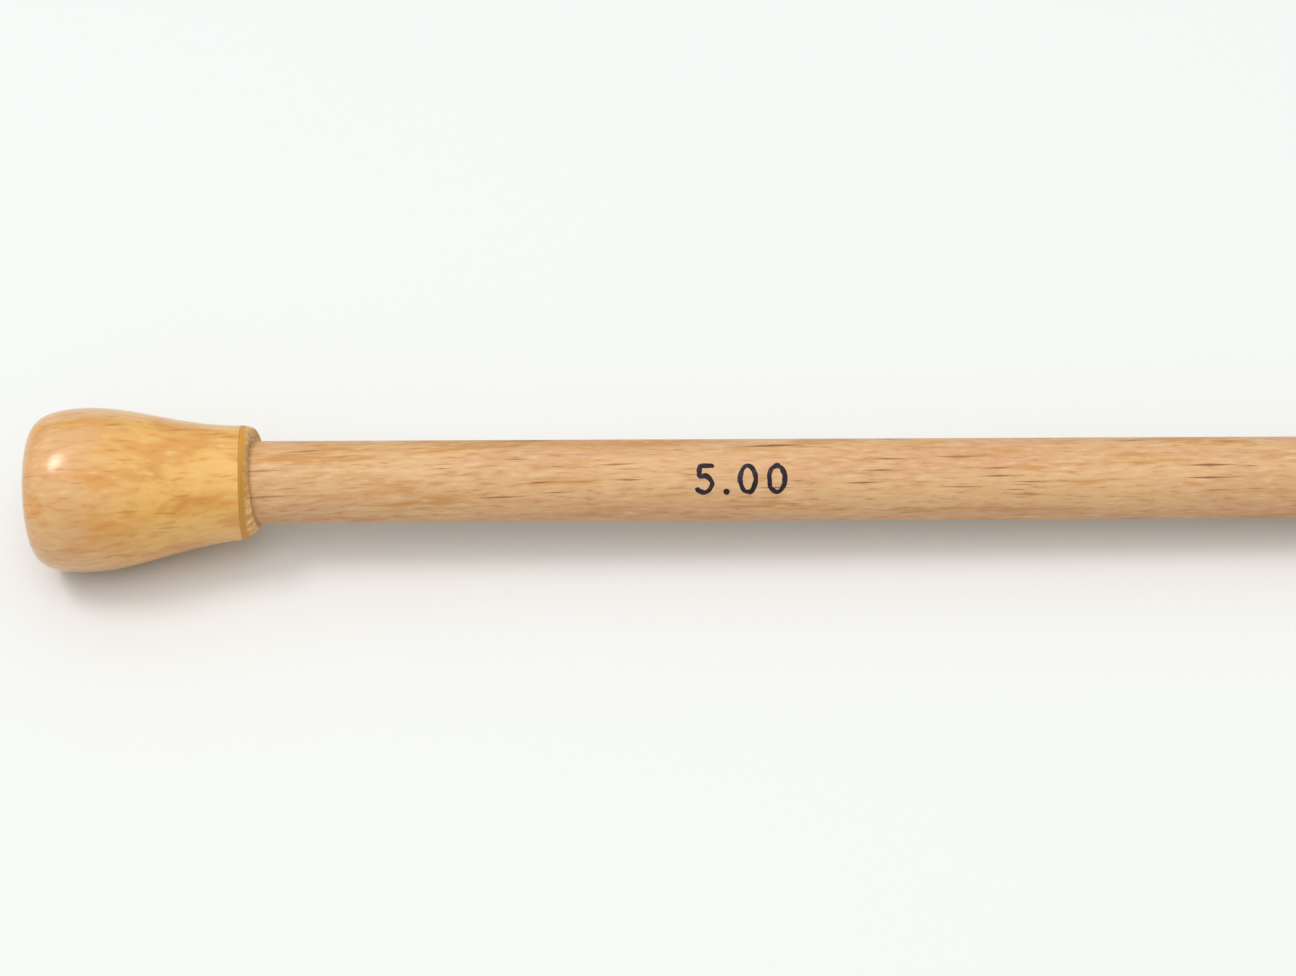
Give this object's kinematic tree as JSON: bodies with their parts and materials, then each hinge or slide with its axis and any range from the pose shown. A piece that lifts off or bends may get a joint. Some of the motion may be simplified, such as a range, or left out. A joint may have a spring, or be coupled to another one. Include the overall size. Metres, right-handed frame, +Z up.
{
  "type": "single-pointed knitting needle",
  "caption": "Straight wooden knitting needle with one blunt point and a turned, varnished head that keeps stitches from sliding off.",
  "frame": {"origin": "centre of the base of the box round the needle, on the table that it lies on", "axes": "+X from the head to the point, +Z up from the table, and the size mark faces -Y and up"},
  "size_m": [0.25, 0.0098, 0.0099],
  "materials": {
    "varnished_beech": "glossy amber varnish over turned beech",
    "plain_beech": "smooth, lightly waxed",
    "dried_glue": "dried wood glue",
    "ink": "matt ink, slightly soaked into the grain"
  },
  "bodies": {
    "root": {"head": "varnished_beech", "shaft": "plain_beech", "glue_film": "dried_glue", "size_mark_five": "ink", "size_mark_point": "ink", "size_mark_zero_1": "ink", "size_mark_zero_2": "ink"}
  },
  "joints": []
}
